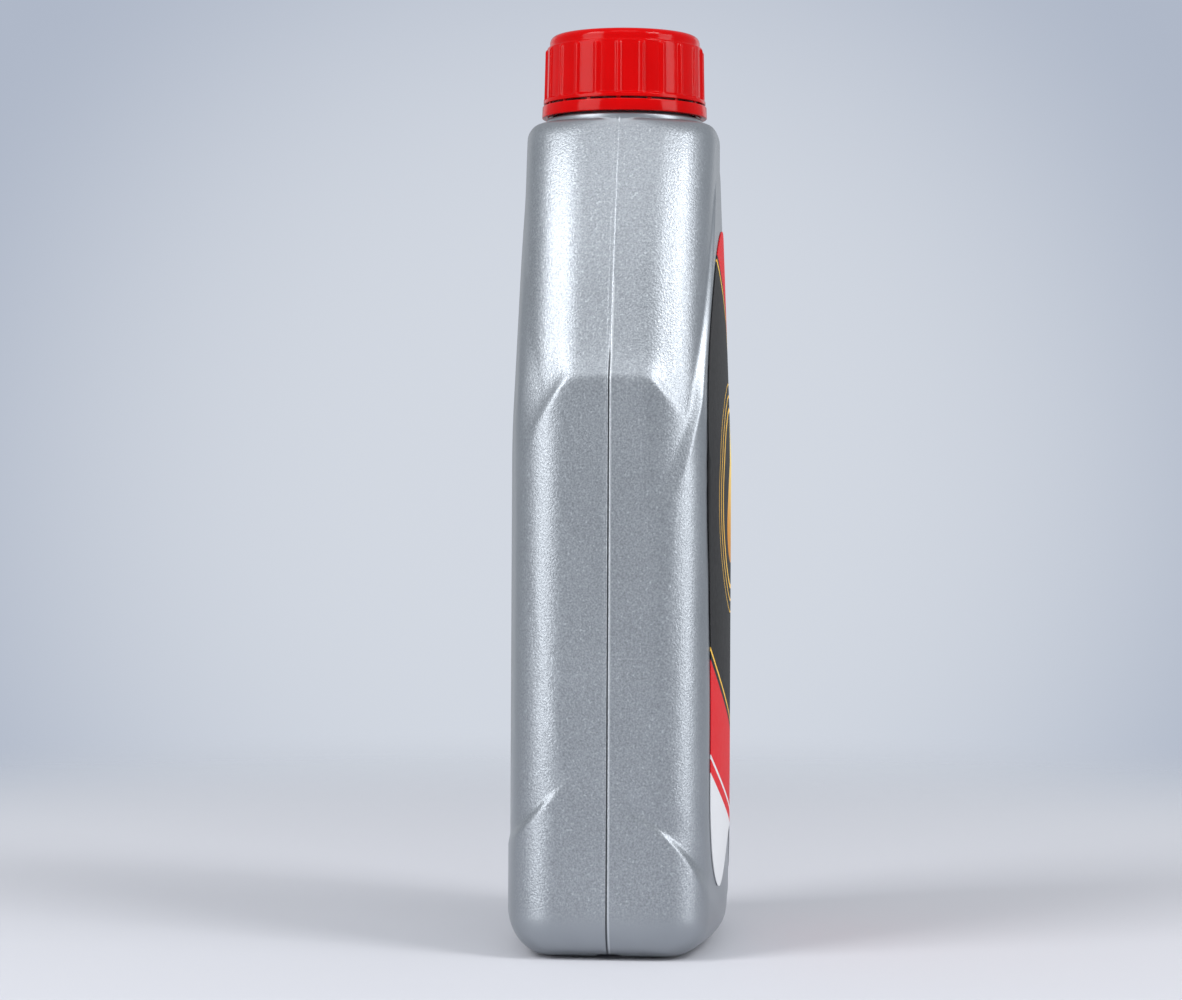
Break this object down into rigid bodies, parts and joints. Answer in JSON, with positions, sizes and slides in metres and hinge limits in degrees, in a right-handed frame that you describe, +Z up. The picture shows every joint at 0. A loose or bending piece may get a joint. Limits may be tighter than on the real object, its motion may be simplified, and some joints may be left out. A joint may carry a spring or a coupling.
{
  "type": "motor oil bottle",
  "caption": "Flat-sided blow-moulded oil bottle with sloping shoulders, raised label panels, a ribbed screw cap, a tamper band and a plain front label.",
  "frame": {"origin": "on the floor under the middle of the base", "axes": "+Z up along the neck, -Y towards the front label, X across the two narrow sides that carry the parting line"},
  "size_m": [0.102, 0.0601, 0.25],
  "materials": {
    "silver_plastic": "satin, silver pigment, fine spark grain on the narrow sides",
    "red_plastic": "gloss",
    "white_foam": "matt foam",
    "label_film": "printed gloss film"
  },
  "bodies": {
    "bottle": {"bottle": "silver_plastic", "tamper_band": "red_plastic", "front_label": "label_film"},
    "liner": {"cap_liner": "white_foam"},
    "cap": {"cap": "red_plastic"}
  },
  "joints": [
    {"name": "cap_lift", "type": "slide", "parent": "bottle", "child": "liner", "axis": [0, 0, 1], "range_m": [0, 0.0169]},
    {"name": "cap_turn", "type": "hinge", "parent": "liner", "child": "cap", "pos_m": [0, 0, 0.24], "axis": [0, 0, 1], "range_deg": [0, 1440]}
  ],
  "couplings": [
    {"joint": "cap_lift", "follows": "cap_turn", "m_per_rad": 0.00066845}
  ]
}
